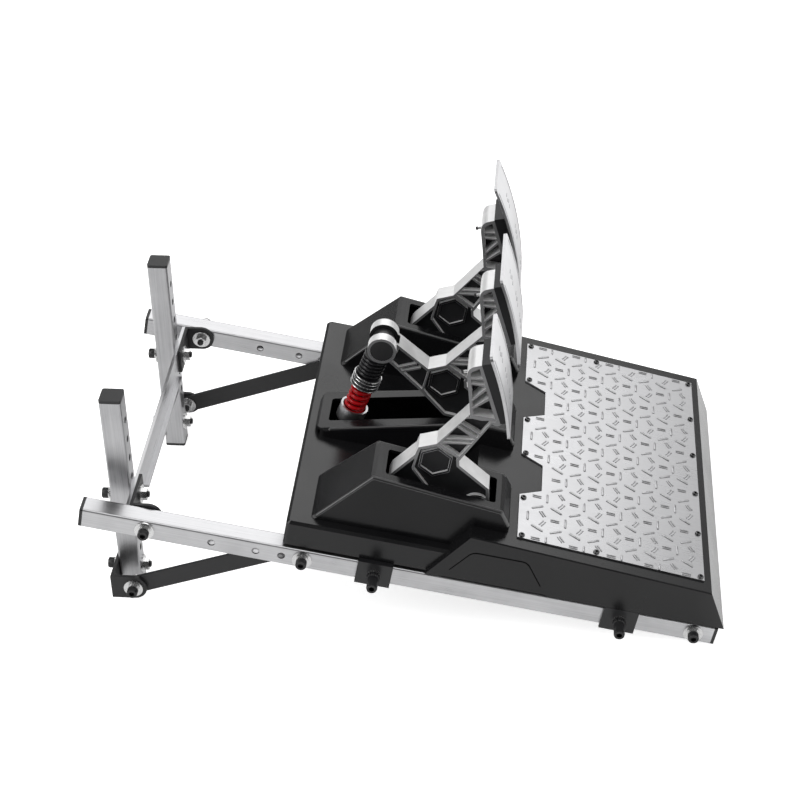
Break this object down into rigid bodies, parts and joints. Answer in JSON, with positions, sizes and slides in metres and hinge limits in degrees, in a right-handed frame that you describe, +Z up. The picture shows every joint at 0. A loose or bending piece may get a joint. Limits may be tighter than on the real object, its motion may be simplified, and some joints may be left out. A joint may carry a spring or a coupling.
{
  "type": "pedal stand",
  "caption": "Sloping tube stand with upright posts, carrying a black base with curved foot pedals on cast arms and a ribbed heel plate.",
  "frame": {"origin": "middle of the footprint, on the ground under the post feet", "axes": "+Z up, +X across the stand towards the gas pedal, +Y along it towards the posts"},
  "size_m": [0.3826, 0.5838, 0.3218],
  "materials": {
    "plated_steel": "satin",
    "black_steel": "satin",
    "black_screws": "satin",
    "washer_zinc": "bright",
    "black_caps": "matt",
    "base_black": "fine grain",
    "tread_bright": "brushed",
    "cast_grey": "satin",
    "pad_black": "matt",
    "face_metal": "brushed",
    "strut_black": "gloss",
    "strut_silver": "satin",
    "spring_red": "gloss"
  },
  "bodies": {
    "stand": {"left_rail": "plated_steel", "left_post": "plated_steel", "left_upper_bracket": "plated_steel", "left_lower_bracket": "plated_steel", "left_front_bracket": "plated_steel", "left_brace": "black_steel", "left_clamp_brackets": "black_steel", "right_rail": "plated_steel", "right_post": "plated_steel", "right_upper_bracket": "plated_steel", "right_lower_bracket": "plated_steel", "right_front_bracket": "plated_steel", "right_brace": "black_steel", "right_clamp_brackets": "black_steel", "rear_strap": "plated_steel", "front_cross_tube": "plated_steel", "tube_end_caps": "black_caps", "frame_bolts": "black_screws", "frame_washers": "washer_zinc", "frame_nuts": "washer_zinc", "clamp_screws": "black_screws", "base_deck": "base_black", "base_floor": "black_steel", "tread_plate": "tread_bright", "clutch_housing": "base_black", "brake_housing": "base_black", "gas_housing": "base_black", "pivot_brackets": "black_steel", "pivot_pins": "black_screws", "strut_mount": "black_steel"},
    "clutch_pedal": {"clutch_arm": "cast_grey", "clutch_spacer": "pad_black", "clutch_face": "face_metal"},
    "brake_pedal": {"brake_arm": "cast_grey", "brake_spacer": "pad_black", "brake_face": "face_metal", "knuckle_pin": "strut_silver"},
    "gas_pedal": {"gas_arm": "cast_grey", "gas_spacer": "pad_black", "gas_face": "face_metal"},
    "strut_lower": {"strut_cup": "strut_silver", "strut_red_spring": "spring_red"},
    "strut_upper": {"strut_rod": "strut_black", "strut_collar": "strut_black", "strut_black_spring": "strut_black"}
  },
  "joints": [
    {"name": "clutch_press", "type": "hinge", "parent": "stand", "child": "clutch_pedal", "pos_m": [-0.122, -0.06496, 0.12344], "axis": [-1, 0, 0], "range_deg": [0, 15], "stiffness_Nm_per_rad": 12, "springref_deg": -14.32},
    {"name": "brake_press", "type": "hinge", "parent": "stand", "child": "brake_pedal", "pos_m": [0, -0.06496, 0.12344], "axis": [-1, 0, 0], "range_deg": [0, 6], "stiffness_Nm_per_rad": 60, "springref_deg": -5.73, "deforming": ["strut_red_spring", "strut_black_spring"]},
    {"name": "gas_press", "type": "hinge", "parent": "stand", "child": "gas_pedal", "pos_m": [0.122, -0.06496, 0.12344], "axis": [-1, 0, 0], "range_deg": [0, 15], "stiffness_Nm_per_rad": 8, "springref_deg": -14.32},
    {"name": "strut_lower_turn", "type": "hinge", "parent": "stand", "child": "strut_lower", "pos_m": [0, 0.06577, 0.1129], "axis": [-1, 0, 0], "range_deg": [0, 3.5]},
    {"name": "strut_upper_turn", "type": "hinge", "parent": "brake_pedal", "child": "strut_upper", "pos_m": [0, 0.02792, 0.2098], "axis": [-1, 0, 0], "range_deg": [-3.5, 0]}
  ],
  "couplings": [
    {"joint": "strut_lower_turn", "follows": "brake_press", "ratio": 0.442},
    {"joint": "strut_upper_turn", "follows": "brake_press", "ratio": -0.558}
  ]
}
